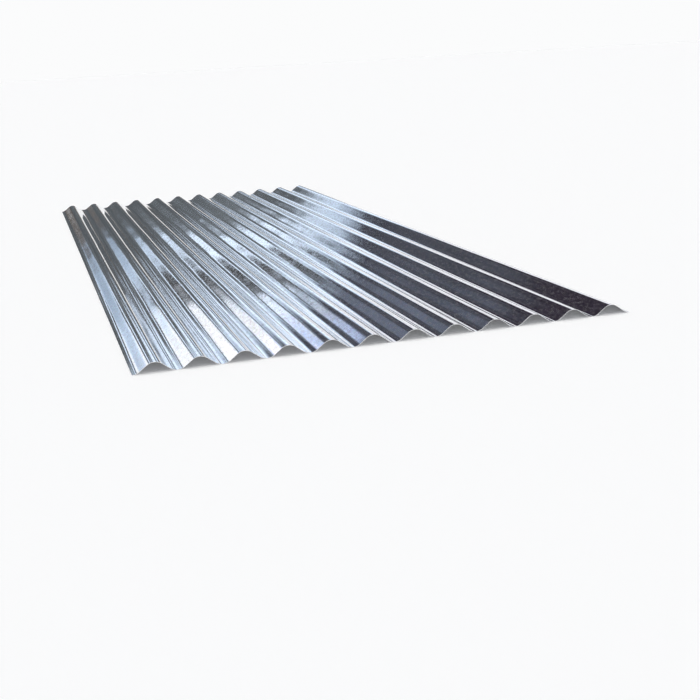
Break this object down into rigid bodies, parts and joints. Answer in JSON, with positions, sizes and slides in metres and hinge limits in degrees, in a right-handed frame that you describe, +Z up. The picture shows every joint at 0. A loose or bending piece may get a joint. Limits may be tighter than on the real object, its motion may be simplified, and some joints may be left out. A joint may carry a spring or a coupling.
{
  "type": "corrugated metal sheet",
  "caption": "Galvanised steel sheet with round corrugations along its length and both long edges turned down, laid with lapped edges as roofing or cladding.",
  "frame": {"origin": "on the floor, under the middle of the sheet", "axes": "+X across the corrugations, +Y along them, +Z up out of the upper face"},
  "size_m": [0.912, 2.4, 0.0187],
  "materials": {
    "galvanised_steel": "bright hot-dip zinc with a fine spangle"
  },
  "bodies": {
    "root": {"corrugated_sheet": "galvanised_steel"}
  },
  "joints": []
}
